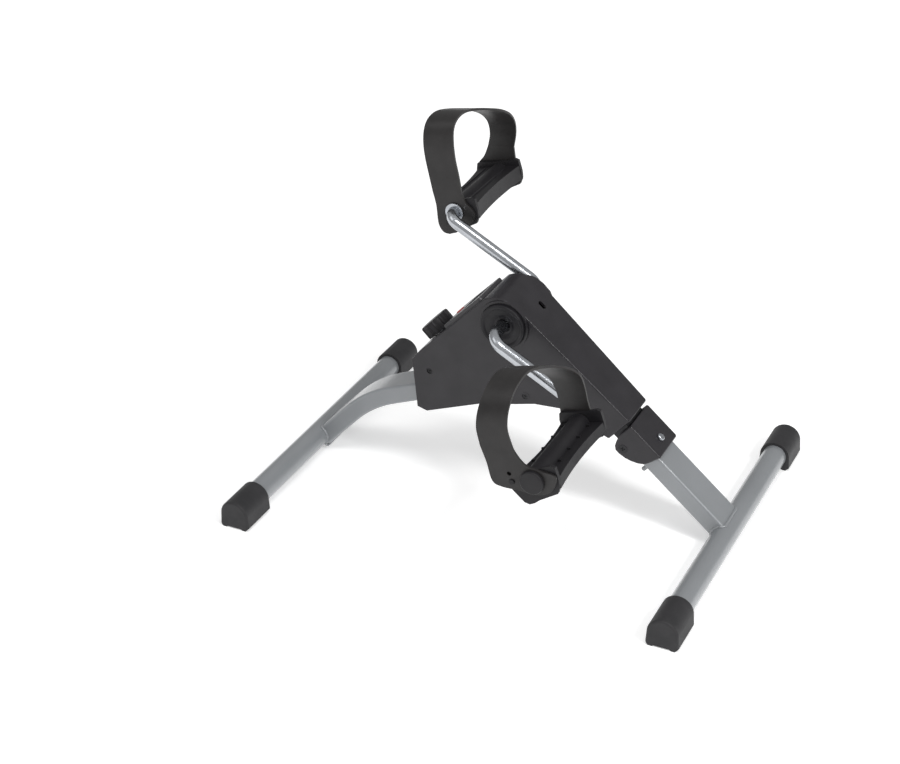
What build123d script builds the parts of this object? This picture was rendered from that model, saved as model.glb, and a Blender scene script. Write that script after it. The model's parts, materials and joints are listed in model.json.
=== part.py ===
from build123d import *
import os
from math import sin, cos, radians, sqrt, atan2, degrees

# ---------------------------------------------------------------------------
# Under-desk pedal exerciser. Millimetres. +X forward, away from the user,
# -Y the user's right, +Z up. Origin on the floor midway between the
# stabilisers, in the centre plane.
# ---------------------------------------------------------------------------

# driving dimensions
STAB_X = 234.3          # stabiliser axis, front (+) and rear (-)
STAB_Z = 15.5           # stabiliser axis height
STAB_R = 12.7           # stabiliser tube radius
WALL = 1.5              # tube wall
HALF_W = 195.0          # outer face of a foot cap
CAP_LEN = 44.0          # foot cap length
CAP_WALL = 4.0          # foot cap end wall

CX, CZ = -5.0, 212.0    # apex of the two slopes, from which the frame is laid out
AX, AZ = -3.8, 210.7    # crank axis
ALPHA = 40.87           # slope of the front arm below horizontal
TUBE_W, TUBE_H = 40.0, 20.0
TUBE_RC = 3.0
O_BOT, O_TOP = -2.0, 18.0   # main tube faces, measured square to the slope from the crank axis
O_MID = 8.0
S_STAB = 309.5          # front stabiliser axis along the slope

BAR_R = 6.35            # crank bar radius
RUN_CL = 0.05           # running clearance on a shaft
CRANK_R = 121.0         # crank length
ARM_Y = 63.0            # plane of a crank arm
ARM_DIR = 28.6          # near arm, degrees below horizontal
BEND_IN, BEND_OUT = 16.0, 12.5
SPINDLE_END = 199.5

PIV_S, PIV_O = 175.0, -3.0  # hinge of the front leg
BOLT_R = 3.0

HOUS_W = 30.8           # housing half width at the hub
HOUS_W_FRONT = 24.0     # housing half width at its front end
HOUS_T = 2.5
HOUS_TOP = 25.6         # top face above the crank axis line
HOUS_END = 158.0
BACK_ANG = 45.9         # slope of the face toward the user
BACK_D = 31.0           # that face's distance from the crank axis

PEDAL_PITCH_R = 15.0
PEDAL_PITCH_L = 12.0
PED_IN, PED_OUT = 80.6, 196.0   # pedal body, inner and outer face
STRAP_T = 2.6

# Straps: stations along the band as |y| and, measured from the spindle, the rear
# edge (x, z) and the front edge (x, z) of its middle surface. Each strap keeps the
# shape it takes round a shoe, so the two differ.
STRAP_STATIONS = {
    "right": [(197.55, -40, -8, -2, -8), (197.55, -47, 8, -11, 12), (197.55, -53.5, 25, -20, 29), (197.55, -57.5, 42, -26, 47),
              (195.5, -57.7, 56.4, -26.9, 62.4), (189, -56.7, 68.4, -26.2, 75.4), (177, -55.7, 78, -25.2, 85), (160, -53.7, 83.5, -22.7, 90.5),
              (142, -50.7, 79.5, -19.2, 87), (124, -46.2, 72, -14.5, 80.5), (108, -41.7, 63.4, -9.4, 72.4), (95, -36.5, 54, -4.7, 64),
              (86, -32, 44, 0, 54), (80.8, -28, 31, 2.5, 40), (79.05, -25, 18, 5, 25), (79.05, -23, 4, 10, 8), (79.05, -20, -8, 14, -8)],
    "left": [(79.05, -20, -8, 16, -8), (79.05, -23, 4, 13, 8), (79.05, -25.5, 18, 8, 22), (79.05, -29.6, 36, 4.8, 40),
             (79.05, -33.6, 54, 0.9, 58), (79.8, -36, 70, -1.5, 75), (83.5, -37, 84, -3, 90), (92, -36.5, 93, -2.5, 99),
             (106, -33.5, 96.5, 0, 102), (124, -27.5, 93.5, 5.5, 99), (142, -21.5, 88, 11.5, 93.5), (160, -16.5, 81, 16.5, 86.5),
             (176, -13.5, 71, 19.5, 76.5), (188, -12.5, 58, 19.5, 63), (195.0, -13.5, 42, 17.5, 47), (197.55, -17, 26, 14, 30),
             (197.55, -20, 8, 12, 10), (197.55, -22, -8, 14, -8)],
}
# tabs at the strap's ends, measured from the spindle in the same way
TAB_OUT = {
    "right": [(-41, -11), (-31, -14), (-14, -13.5), (2, -14), (16, -9), (23, 2), (22, 12), (8, 13.5), (-6, 15), (-13, 22), (-18.5, 27), (-53, 27), (-47, 9)],
    "left": [(-30, -6), (-27, -13), (-16, -17), (0, -15), (14, -12), (19, -2), (17, 8), (14, 24), (-18, 24), (-24, 10), (-29.5, 2)],
}
TAB_IN = {
    "right": [(-22, -2), (-20, -12), (-14, -19), (-8, -21), (-2, -20), (16, -10), (19, 0), (16, 8), (10, 14), (6, 23), (-25, 21)],
    "left": [(-22, -2), (-19.5, -20), (-14, -26), (-8, -27), (-2, -24.5), (20, -9), (23, 0), (20, 6), (12, 12), (7.5, 22), (-27, 21)],
}

ca, sa = cos(radians(ALPHA)), sin(radians(ALPHA))


def P(s, o):
    """Point at s along the front slope and o square to it, from the crank axis."""
    return (CX + s * ca + o * sa, CZ - s * sa + o * ca)


def B(k, h):
    """Point at k down the user-facing slope and h out from the crank axis."""
    b = radians(BACK_ANG)
    n = (-sin(b), cos(b))
    d = (-cos(b), -sin(b))
    return (CX + h * n[0] + k * d[0], CZ + h * n[1] + k * d[1])


def face_xz(pts, y):
    return Face(Wire.make_polygon([Vector(x, y, z) for x, z in pts], close=True))


def prism(pts, y0, y1):
    return extrude(face_xz(pts, y0), amount=y1 - y0, dir=(0, 1, 0))


def cyl_y(x, z, r, y0, y1):
    return Pos(x, (y0 + y1) / 2, z) * Rot(90, 0, 0) * Cylinder(r, y1 - y0)


def ring_y(x, z, ro, ri, y0, y1):
    return cyl_y(x, z, ro, y0, y1) - cyl_y(x, z, ri, y0 - 1, y1 + 1)


def rod(p, q, r):
    p, q = Vector(*p), Vector(*q)
    d = q - p
    return extrude(Plane(origin=p, z_dir=d) * Circle(r), amount=d.length)


def one(shape):
    """Largest solid of a result, so that each node is a single closed solid."""
    sol = shape.solids()
    if len(sol) > 1:
        sol = sorted(sol, key=lambda s: s.volume)
    return sol[-1]


parts = {}


def keep(name, shape, single=True):
    parts[name] = one(shape) if single else shape


def local_plane(s, o, y=0.0):
    """Plane across the front slope: z along s, x along o."""
    x, z = P(s, o)
    return Plane(origin=(x, y, z), x_dir=(sa, 0, ca), z_dir=(ca, 0, -sa))


# ---------------------------------------------------------------------------
# stabilisers and foot caps
# ---------------------------------------------------------------------------
tube_end = HALF_W - CAP_WALL
for nm, sx in (("front", 1), ("rear", -1)):
    x = sx * STAB_X
    t = cyl_y(x, STAB_Z, STAB_R, -tube_end, tube_end) - cyl_y(x, STAB_Z, STAB_R - WALL, -tube_end - 1, tube_end + 1)
    keep(f"{nm}_stabiliser_tube", t)


def foot_cap(x, side):
    ro = STAB_R + 3.3
    hb = 16.8
    sk = [
        Line((-hb + 4, 0), (-hb + 9, 0)),
    ]
    pts = [(-hb + 3.5, 0), (-9.5, 0), (-8.0, 1.2), (8.0, 1.2), (9.5, 0), (hb - 3.5, 0), (hb, 3.5), (ro, STAB_Z), ]
    e = []
    for a, b in zip(pts[:-1], pts[1:]):
        e.append(Line(a, b))
    e.append(ThreePointArc((ro, STAB_Z), (0, STAB_Z + ro), (-ro, STAB_Z)))
    e.append(Line((-ro, STAB_Z), (-hb, 3.5)))
    e.append(Line((-hb, 3.5), (-hb + 3.5, 0)))
    f = make_face(Sketch() + [Curve() + e])
    f = Plane(origin=(x, side * (HALF_W - CAP_LEN), 0), x_dir=(1, 0, 0), z_dir=(0, -1, 0)) * f
    body = extrude(f, amount=CAP_LEN, dir=(0, side, 0))
    end = body.faces().sort_by(Axis.Y)[-1 if side > 0 else 0]
    try:
        body = fillet([q for q in end.edges() if q.center().Z > 2.0], 2.6)
    except Exception:
        pass
    y0, y1 = sorted((side * (HALF_W - CAP_LEN - 1), side * tube_end))
    return body - cyl_y(x, STAB_Z, STAB_R, y0, y1)


for nm, sx in (("front", 1), ("rear", -1)):
    for sd, side in (("right", -1), ("left", 1)):
        keep(f"{nm}_foot_cap_{sd}", foot_cap(sx * STAB_X, side))

# ---------------------------------------------------------------------------
# front leg, fold bracket, cover, hinge bolt
# ---------------------------------------------------------------------------
LEG_S0 = 199.0


def slope_tube(s0, s1, w, h, rc, omid=O_MID):
    return extrude(local_plane(s0, omid) * RectangleRounded(h, w, rc), amount=s1 - s0)


leg = slope_tube(LEG_S0, 303.0, TUBE_W, TUBE_H, TUBE_RC) - slope_tube(LEG_S0 - 1, 305.0, TUBE_W - 2 * WALL, TUBE_H - 2 * WALL, TUBE_RC - WALL)
leg = leg - cyl_y(STAB_X, STAB_Z, STAB_R, -40, 40)

piv = P(PIV_S, PIV_O)
BR_IN = 20.0
bracket_side = [(163.5, 21.5), (205, 21.5), (202.7, 15), (201.2, 9.6), (198.6, 4), (194.4, -0.6), (189, -4.4), (183, -7.2), (176, -8.8), (171.8, -8.6), (169, -6.4), (166.6, -1.6), (164.5, 4.5), (163.5, 9)]
bracket = prism([P(s, o) for s, o in bracket_side], -22, 22)
bracket = bracket - prism([P(s, o) for s, o in [(160, 19.5), (215, 19.5), (215, -20), (160, -20)]], -BR_IN, BR_IN)
LOCK_S = 193.0
lx0 = P(LOCK_S, 5)
lx1 = P(LOCK_S, 30)
bracket = bracket - rod((lx0[0], 0, lx0[1]), (lx1[0], 0, lx1[1]), 3.35)
bracket = bracket - cyl_y(piv[0], piv[1], BOLT_R, -23, 23)
leg = leg - rod((P(208, -20)[0], 0, P(208, -20)[1]), (P(208, 5)[0], 0, P(208, 5)[1]), 2.4)
keep("front_leg_tube", leg)

cover_side = [(161.5, 23), (206.2, 23), (204.6, 15.5), (203.4, 9.5), (200.6, 3), (195.8, -2), (190, -6), (183.4, -9), (176, -10.6), (171, -10.4), (167.4, -7.6), (164.8, -2.5), (162.6, 3.5), (161.5, 9)]
cover = prism([P(s, o) for s, o in cover_side], -24.2, 24.2)
ce_ = []
for e in cover.edges():
    es = (e.center().X - CX) * ca - (e.center().Z - CZ) * sa
    eo = (e.center().X - CX) * sa + (e.center().Z - CZ) * ca
    if abs(abs(e.center().Y) - 24.2) < 0.01 and (es < 161.6 or es > 204.4) and eo > 10 and e.length < 20:
        ce_.append(e)
try:
    cover = fillet(ce_, 2.4)
    print("cover corners", len(ce_))
except Exception as ex:
    print("cover corners", ex)
te = [e for e in cover.edges() if abs((e.center().X - CX) * sa + (e.center().Z - CZ) * ca - 23) < 0.6]
try:
    cover = fillet(te, 1.4)
except Exception as ex:
    print("cover top", ex)
cover = cover - prism([P(s, o) for s, o in [(160, 21.5), (215, 21.5), (215, -20), (160, -20)]], -22, 22)
cover = cover - rod((lx0[0], 0, lx0[1]), (lx1[0], 0, lx1[1]), 3.35)
cover = cover - cyl_y(piv[0], piv[1], 4.8, -30, 30)
keep("fold_bracket", bracket)
keep("fold_bracket_cover", cover)

# hinge bolt: shank, head on the right, nut on the left
bolt = cyl_y(piv[0], piv[1], BOLT_R, -22, 25) + cyl_y(piv[0], piv[1], 4.5, -24.4, -22)
bolt = bolt - (Pos(piv[0], -24.4, piv[1]) * Box(5.2, 2.0, 1.1)) - (Pos(piv[0], -24.4, piv[1]) * Box(1.1, 2.0, 5.2))
keep("hinge_bolt", bolt)
nut = Plane(origin=(piv[0], 22.0, piv[1]), z_dir=(0, 1, 0)) * RegularPolygon(4.6, 6)
nut = extrude(nut, amount=2.6, dir=(0, 1, 0)) - cyl_y(piv[0], piv[1], BOLT_R, 20, 26)
keep("hinge_nut", nut)

# stop pin under the leg tube
sp0, sp1 = P(208, -2 + WALL + 2.0), P(208, -20.5)
stop = rod((sp0[0], 0, sp0[1]), (sp1[0], 0, sp1[1]), 2.4)
stop = fillet(stop.faces().sort_by(Axis.Z)[0].edges(), 1.6)
keep("leg_stop_pin", stop)

# lock pin: dome head above the cover, shank down to just clear of the tongue
h0, h1, h2 = P(LOCK_S, 8.4), P(LOCK_S, 23.4), P(LOCK_S, 24.6)
pin = rod((h0[0], 0, h0[1]), (h2[0], 0, h2[1]), 3.0)
h3 = P(LOCK_S, 25.9)
head = rod((h1[0], 0, h1[1]), (h3[0], 0, h3[1]), 4.2)
head = fillet(head.faces().sort_by(Axis((CX, 0, CZ), (sa, 0, ca)))[-1].edges(), 2.0)
pin = pin + head
cpl = P(LOCK_S, 13.6)
cpt = P(LOCK_S, 15.0)
pin = pin + rod((cpl[0], 0, cpl[1]), (cpt[0], 0, cpt[1]), 3.9)
keep("lock_pin", pin)

# ---------------------------------------------------------------------------
# main frame tube with its hinge tongue
# ---------------------------------------------------------------------------
MAIN_S0 = 32.0
main = slope_tube(MAIN_S0, 157.5, TUBE_W - 0.6, TUBE_H, TUBE_RC) - slope_tube(MAIN_S0 - 1, 162.0, TUBE_W - 0.6 - 2 * WALL, TUBE_H - 2 * WALL, TUBE_RC - WALL)
keep("main_frame_tube", main)

TONG_R = 20.0
tcirc = cyl_y(piv[0], piv[1], TONG_R, -19.7, 19.7)
TONG = [(157.5, 17.0), (176, 17.0), (200, 17.0), (200, 6), (194, 1.5), (188, -2.5), (182, -5.4), (175, -7.2), (170.5, -6.6), (166.5, -1.9), (157.5, -1.9)]
tbox = prism([P(s, o) for s, o in TONG], -19.7, 19.7)
tong = (tcirc & tbox) + prism([P(s, o) for s, o in [(157.5, 17.0), (176, 17.0), (176, -1.9), (157.5, -1.9)]], -19.7, 19.7)
tong = tong - prism([P(s, o) for s, o in [(150, 14.5), (200, 14.5), (200, -14), (150, -14)]], -17.2, 17.2)
tong = tong + cyl_y(piv[0], piv[1], 5.6, -17.2, 17.2)
spig = slope_tube(135.0, 158.0, TUBE_W - 0.6 - 2 * WALL, TUBE_H - 2 * WALL, TUBE_RC - WALL) - slope_tube(134.0, 159.0, TUBE_W - 0.6 - 4 * WALL - 1, TUBE_H - 4 * WALL - 1, 0.8)
tong = tong + spig
tong = tong - cyl_y(piv[0], piv[1], BOLT_R + RUN_CL, -30, 30)
keep("hinge_tongue", tong)

# ---------------------------------------------------------------------------
# rear leg: flat tube bent once
# ---------------------------------------------------------------------------
RA = (-228.0, 14.0)
RB = (-190.5, 54.2)
RCN = (-88.1, -41.3)
RC_ = (-140.5, 88.5)
RR = sqrt((RB[0] - RCN[0]) ** 2 + (RB[1] - RCN[1]) ** 2)
a0 = atan2(RB[1] - RCN[1], RB[0] - RCN[0])
a1 = atan2(RC_[1] - RCN[1], RC_[0] - RCN[0])
RC_ = (RCN[0] + RR * cos(a1), RCN[1] + RR * sin(a1))
am = (a0 + a1) / 2
RM = (RCN[0] + RR * cos(am), RCN[1] + RR * sin(am))
d2 = (sin(a1), -cos(a1))
RD = (RC_[0] + 118.0 * d2[0], RC_[1] + 118.0 * d2[1])
d1 = (sin(a0), -cos(a0))
RA = (RB[0] - 54.0 * d1[0], RB[1] - 54.0 * d1[1])


def v3(p, y=0.0):
    return (p[0], y, p[1])


rpath = Wire([Edge.make_line(v3(RA), v3(RB)), Edge.make_three_point_arc(v3(RB), v3(RM), v3(RC_)), Edge.make_line(v3(RC_), v3(RD))])
rpl = Plane(origin=v3(RA), x_dir=(-d1[1], 0, d1[0]), z_dir=(d1[0], 0, d1[1]))


def rear_sweep(h, w, rc):
    return sweep(rpl * RectangleRounded(h, w, rc), path=rpath)


rear_outer = rear_sweep(TUBE_H, TUBE_W, TUBE_RC)
rear = rear_outer - rear_sweep(TUBE_H - 2 * WALL, TUBE_W - 2 * WALL, TUBE_RC - WALL)
rear = rear - cyl_y(-STAB_X, STAB_Z, STAB_R, -40, 40)
keep("rear_leg_tube", rear)

# ---------------------------------------------------------------------------
# crank cradle plates, bushes
# ---------------------------------------------------------------------------
cr_pts = [(CX - 15, CZ + 6), (CX - 8, CZ + 14), (CX + 4, CZ + 15), P(78, 15), P(78, 0), (-28, 122), (-80, 102), (-78, 116), (-34, 140)]
for nm, side in (("right", -1), ("left", 1)):
    y0, y1 = sorted((side * 20.0, side * 23.0))
    pl = prism(cr_pts, y0, y1) - cyl_y(AX, AZ, 9.0, y0 - 1, y1 + 1)
    keep(f"crank_cradle_{nm}", pl)
    ya, yb = sorted((side * 18.5, side * 25.0))
    yc, yd = sorted((side * 23.0, side * 25.0))
    bush = cyl_y(AX, AZ, 9.0, ya, yb) + cyl_y(AX, AZ, 12.0, yc, yd)
    bush = bush - cyl_y(AX, AZ, BAR_R + RUN_CL, ya - 1, yb + 1)
    keep(f"crank_bush_{nm}", bush)

# ---------------------------------------------------------------------------
# housing, two moulded shells
# ---------------------------------------------------------------------------
HF = P(HOUS_END, HOUS_TOP)
HB = P(HOUS_END, -6.0)
crown0 = (CX + HOUS_TOP * sa, CZ + HOUS_TOP * ca)
crown2 = B(-2.0, BACK_D)
crown1 = (CX - 2.0, CZ + 27.0)
rear_top = B(104.0, BACK_D)
SCREWS = [(100.0, 115.5), (-88.0, 138.0), (20.0, 134.0)]


def housing_face(y):
    e = []
    A = lambda p: (p[0], y, p[1])
    e.append(Edge.make_line(A(HF), A(crown0)))
    e.append(Edge.make_three_point_arc(A(crown0), A(crown1), A(crown2)))
    e.append(Edge.make_line(A(crown2), A(rear_top)))
    low = [rear_top, (-108.0, 148.0), (-103.0, 92.0), (-92.0, 89.0), (-30.0, 113.0), (30.0, 127.0), (62.0, 128.0), (88.0, 115.0), HB]
    for a, b in zip(low[:-1], low[1:]):
        e.append(Edge.make_line(A(a), A(b)))
    e.append(Edge.make_line(A(HB), A(HF)))
    return Face(Wire(e))


def plan_solid(off):
    w0, w1 = HOUS_W - off, HOUS_W_FRONT - off
    x1 = 140.0
    pts = [(-140, -w0), (8, -w0), (x1, -w1), (x1, w1), (8, w0), (-140, w0)]
    f = Face(Wire.make_polygon([Vector(px, py, 60) for px, py in pts], close=True))
    return extrude(f, amount=220, dir=(0, 0, 1))


outer = extrude(housing_face(-40), amount=80, dir=(0, 1, 0)) & plan_solid(0)
outer = outer + (cyl_y(SCREWS[0][0], SCREWS[0][1], 8.5, -HOUS_W_FRONT - 1.6, HOUS_W_FRONT + 1.6))
ff = housing_face(-40)
inner_face = offset(ff, amount=-HOUS_T, kind=Kind.INTERSECTION)
inner = extrude(inner_face, amount=80, dir=(0, 1, 0)) & plan_solid(HOUS_T)
front_corners = []
for e in outer.edges():
    es = (e.center().X - CX) * ca - (e.center().Z - CZ) * sa
    if abs(es - HOUS_END) < 0.3 and abs(e.center().Y) > HOUS_W_FRONT - 1.5 and e.length > 20:
        front_corners.append(e)
try:
    outer = fillet(front_corners, 2.6)
    print("front corners", len(front_corners))
except Exception as ex:
    print("front corners", len(front_corners), ex)
ridge = [e for e in outer.edges() if e.length > 12 and e.center().Z > 140 and abs(e.tangent_at(0.5).Y) < 0.3
         and abs(e.center().Y) > 21 and ((e.center().X - CX) * sa + (e.center().Z - CZ) * ca > 22 or (-(e.center().X - CX) * sin(radians(BACK_ANG)) + (e.center().Z - CZ) * cos(radians(BACK_ANG)) > 29))]
rounded = 0
for rr_ in (2.4, 2.1, 1.9, 1.75, 1.6, 1.4, 1.2):
    try:
        outer = fillet(ridge, rr_)
        rounded = rr_
        break
    except Exception:
        pass
print("ridge edges", len(ridge), "radius", rounded)
# raised rim round the hub
rim = (ring_y(AX, AZ, 27.0, 24.4, -HOUS_W - 1.6, HOUS_W + 1.6)) & extrude(housing_face(-40), amount=80, dir=(0, 1, 0))
outer = outer + rim
shell = outer - inner
shell = shell - prism([P(s, o) for s, o in [(150, 18.6), (170, 18.6), (170, -2.6), (150, -2.6)]], -20.4, 20.4)
shell = shell - rear_sweep(TUBE_H + 0.6, TUBE_W + 0.6, TUBE_RC)
shell = shell - cyl_y(AX, AZ, 13.0, -60, 60)
# slot in the top
slot = Plane(origin=(P(14, 15)[0], 5.0, P(14, 15)[1]), x_dir=(ca, 0, -sa), z_dir=(sa, 0, ca)) * SlotOverall(9.8, 6.0)
shell = shell - extrude(slot, amount=20)
# display opening and screw hole in the user-facing slope
shell = shell - prism([B(k, h) for k, h in [(12, 40), (59, 40), (59, 26), (12, 26)]], -19, 19)
KNOB_K = 86.0
kn0, kn1 = B(KNOB_K, 20), B(KNOB_K, 60)
shell = shell - rod((kn0[0], 0, kn0[1]), (kn1[0], 0, kn1[1]), 4.2)
# screw posts
for i, (x, z) in enumerate(SCREWS):
    yr = HOUS_W_FRONT + 1.6 if i == 0 else HOUS_W
    if i > 0:
        shell = shell + (cyl_y(x, z, 4.5, -HOUS_W + 0.5, HOUS_W - 0.5))
    shell = shell - cyl_y(x, z, 3.4, -yr - 1, -yr + 3.2)
    shell = shell - cyl_y(x, z, 1.6, -yr, yr - 3.5)
shell = shell - slope_tube(MAIN_S0 - 1, 163.0, TUBE_W + 0.2, TUBE_H + 0.2, TUBE_RC)
half = 300.0
right = shell & (Pos(0, -half / 2, 150) * Box(600, half, 400))
left = shell & (Pos(0, half / 2, 150) * Box(600, half, 400))
keep("housing_right_shell", right)
keep("housing_left_shell", left)

sc = None
for i, (x, z) in enumerate(SCREWS):
    yr = HOUS_W_FRONT + 1.6 if i == 0 else HOUS_W
    s_ = cyl_y(x, z, 1.6, -yr + 1.6, yr - 3.5) + cyl_y(x, z, 3.2, -yr + 1.0, -yr + 3.2)
    s_ = s_ - (Pos(x, -yr + 1.0, z) * Box(3.6, 1.6, 0.8)) - (Pos(x, -yr + 1.0, z) * Box(0.8, 1.6, 3.6))
    sc = s_ if sc is None else sc + s_
keep("housing_screws", sc, single=False)

# hub covers, dished rings
for nm, side in (("right", -1), ("left", 1)):
    pr = [(24.0, 30.0), (24.0, 34.4), (23.5, 35.4), (22.4, 36.0), (21.0, 35.9), (19.8, 35.2), (18.8, 34.3), (14.0, 33.9), (11.5, 32.6), (9.5, 31.4), (6.9, 31.2),
          (6.9, 29.6), (10.0, 29.8), (12.4, 31.0), (14.4, 32.3), (18.8, 32.7), (20.6, 34.0), (22.0, 34.0), (22.0, 30.0)]
    w = Wire.make_polygon([Vector(AX + r, side * (y + HOUS_W - 30.0), AZ) for r, y in pr], close=True)
    keep(f"hub_cover_{nm}", revolve(Face(w), axis=Axis((AX, 0, AZ), (0, 1, 0))))

# ---------------------------------------------------------------------------
# crank: one bent bar
# ---------------------------------------------------------------------------
ux, uz = cos(radians(ARM_DIR)), -sin(radians(ARM_DIR))


def K(a, y):
    return (AX + a * ux, y, AZ + a * uz)


h_ = sqrt(0.5)
R_, ro_, ri_ = CRANK_R, BEND_OUT, BEND_IN
ce = [
    Edge.make_line(K(R_, -SPINDLE_END), K(R_, -(ARM_Y + ro_))),
    Edge.make_three_point_arc(K(R_, -(ARM_Y + ro_)), K(R_ - ro_ + h_ * ro_, -(ARM_Y + ro_) + h_ * ro_), K(R_ - ro_, -ARM_Y)),
    Edge.make_line(K(R_ - ro_, -ARM_Y), K(ri_, -ARM_Y)),
    Edge.make_three_point_arc(K(ri_, -ARM_Y), K(ri_ - h_ * ri_, -(ARM_Y - ri_) - h_ * ri_), K(0, -(ARM_Y - ri_))),
    Edge.make_line(K(0, -(ARM_Y - ri_)), K(0, ARM_Y - ri_)),
    Edge.make_three_point_arc(K(0, ARM_Y - ri_), K(-ri_ + h_ * ri_, (ARM_Y - ri_) + h_ * ri_), K(-ri_, ARM_Y)),
    Edge.make_line(K(-ri_, ARM_Y), K(-(R_ - ro_), ARM_Y)),
    Edge.make_three_point_arc(K(-(R_ - ro_), ARM_Y), K(-(R_ - ro_) - h_ * ro_, ARM_Y + ro_ - h_ * ro_), K(-R_, ARM_Y + ro_)),
    Edge.make_line(K(-R_, ARM_Y + ro_), K(-R_, SPINDLE_END)),
]
cw = Wire(ce)
bar = sweep(Plane(origin=K(R_, -SPINDLE_END), z_dir=(0, 1, 0)) * Circle(BAR_R), path=cw)
keep("crank_bar", bar)

drum = ring_y(AX, AZ, 19.5, BAR_R, -11, 11)
for k in range(6):
    ang = radians(60 * k + 30)
    drum = drum - cyl_y(AX + 12.6 * cos(ang), AZ + 12.6 * sin(ang), 3.4, -12, 12)
mg = (AX + 15.6, AZ)
drum = drum - cyl_y(mg[0], mg[1], 2.5, 8.0, 12)
keep("brake_drum", drum)
keep("sensor_magnet", cyl_y(mg[0], mg[1], 2.5, 8.0, 11.6))
for nm, side in (("right", -1), ("left", 1)):
    y0, y1 = sorted((side * 25.4, side * 29.0))
    keep(f"axle_collar_{nm}", ring_y(AX, AZ, 9.0, BAR_R, y0, y1))

# brake band round the drum, its lower end fixed, its upper end pulled by the nut
band = ring_y(AX, AZ, 21.2, 19.85, -8, 8)
band = band & (prism([(AX - 30, AZ - 30), (AX + 30, AZ - 30), (AX + 30, AZ + 30), (AX - 6, AZ + 30), (AX - 6, AZ - 15), (AX - 30, AZ - 15)], -9, 9))
keep("brake_band", band)
anch = P(31.0, 0)
anchor = prism([(AX - 6.0, AZ - 20.3), (AX + 1.0, AZ - 21.4), (AX + 6, AZ - 34), (AX - 4, AZ - 34)], -8, 8) - cyl_y(AX, AZ, 21.2, -10, 10)
anchor = anchor + prism([(AX - 4, AZ - 34), (AX + 6, AZ - 34), (AX + 6, AZ - 37), (AX - 4, AZ - 37)], -19.9, 19.9)
keep("band_anchor", anchor)

# tension screw with its knob, and the nut that runs on it


def brod(k, h0_, h1_, r, y=0.0):
    p, q = B(k, h0_), B(k, h1_)
    return rod((p[0], y, p[1]), (q[0], y, q[1]), r)


screw = brod(KNOB_K, -12.0, 33.0, 3.0)
keep("tension_screw", screw)
kpl = B(KNOB_K, 32.0)
bb = radians(BACK_ANG)
knob_plane = Plane(origin=(kpl[0], 0, kpl[1]), x_dir=(0, 1, 0), z_dir=(-sin(bb), 0, cos(bb)))
knob = extrude(knob_plane * Circle(17.0), amount=14.0)
knob = fillet(knob.faces().sort_by(Axis.X)[0].edges(), 2.2)
for k in range(12):
    ang = radians(30 * k)
    knob = knob - (knob_plane * Pos(18.6 * cos(ang), 18.6 * sin(ang), 7) * Cylinder(3.0, 16))
knob = knob - brod(KNOB_K, 30.0, 33.0, 3.0)
keep("tension_knob", knob)
npl = B(KNOB_K, -2.0)
nutp = Plane(origin=(npl[0], 0, npl[1]), x_dir=(0, 1, 0), z_dir=(-sin(bb), 0, cos(bb)))
tnut = extrude(nutp * RectangleRounded(13, 13, 1.5), amount=7.0) - brod(KNOB_K, -20, 20, 3.0 + RUN_CL)
keep("tension_nut", tnut)

# ---------------------------------------------------------------------------
# display
# ---------------------------------------------------------------------------
BZ0, BZ1 = 4.0, 64.0
bez = prism([B(k, h) for k, h in [(BZ0, BACK_D), (BZ0, BACK_D + 4.1), (BZ1, BACK_D + 4.1), (BZ1, BACK_D)]], -26.5, 26.5)
bn = Vector(-sin(bb), 0, cos(bb))
try:
    bez = fillet([e for e in bez.edges() if abs(e.tangent_at(0.5).dot(bn)) > 0.95], 5.0)
    topf = bez.faces().sort_by(Axis((CX, 0, CZ), (-sin(bb), 0, cos(bb))))[-1]
    bez = fillet(topf.edges(), 1.4)
except Exception as ex:
    print("bezel fillet", ex)
bez = bez - prism([B(k, h) for k, h in [(12, 40), (38, 40), (38, 28), (12, 28)]], -17.5, 17.5)
bez = bez - brod(52.0, 25, 45, 5.4)
keep("display_bezel", bez)
keep("display_lens", prism([B(k, h) for k, h in [(12, 31.2), (38, 31.2), (38, 34.2), (12, 34.2)]], -17.5, 17.5))
keep("display_module", prism([B(k, h) for k, h in [(13, 28.2), (37, 28.2), (37, 31.2), (13, 31.2)]], -16.5, 16.5))
keep("display_circuit_board", prism([B(k, h) for k, h in [(12.5, 26.6), (53.5, 26.6), (53.5, 28.2), (12.5, 28.2)]], -18.5, 18.5))
keep("display_battery", brod(40.0, 23.2, 26.6, 10.0))
btn = brod(52.0, 30.6, 36.2, 5.0)
btn = fillet(btn.faces().sort_by(Axis((CX, 0, CZ), (-sin(bb), 0, cos(bb))))[-1].edges(), 1.0)
keep("display_button", btn)
keep("sensor_switch", Pos(AX + 15.6, 17.0, AZ) * Box(6, 6, 12))

# ---------------------------------------------------------------------------
# pedals
# ---------------------------------------------------------------------------


def pedal_frame(side, pitch):
    """Spindle point in XZ, toe direction t and normal n."""
    a = CRANK_R if side < 0 else -CRANK_R
    c = (AX + a * ux, AZ + a * uz)
    t = (cos(radians(pitch)), sin(radians(pitch)))
    n = (-sin(radians(pitch)), cos(radians(pitch)))
    return c, t, n


PEG_OUT, PEG_IN = (-21.5, 0.0), (-10.0, -12.0)
END_OUT = [(-26, 11), (-28, 4), (-27.5, -6), (-23.5, -12.5), (-20, -17.5), (-15.7, -23.6), (-10.9, -26), (-5, -24.6), (0.5, -21.6), (21.5, -14.5), (25, -8), (25.8, 0),
           (24.8, 12.5), (21, 14.5), (8, 12), (-22, 12)]
END_IN = [(-20, 11), (-21.5, 4), (-21, -8), (-19.5, -16), (-16, -22), (-10.9, -25.6), (-5, -24.6), (0.5, -21.6), (21.5, -14.5), (25, -8), (25.8, 0),
          (24.8, 12.5), (21, 14.5), (8, 12), (-17, 12)]


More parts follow.
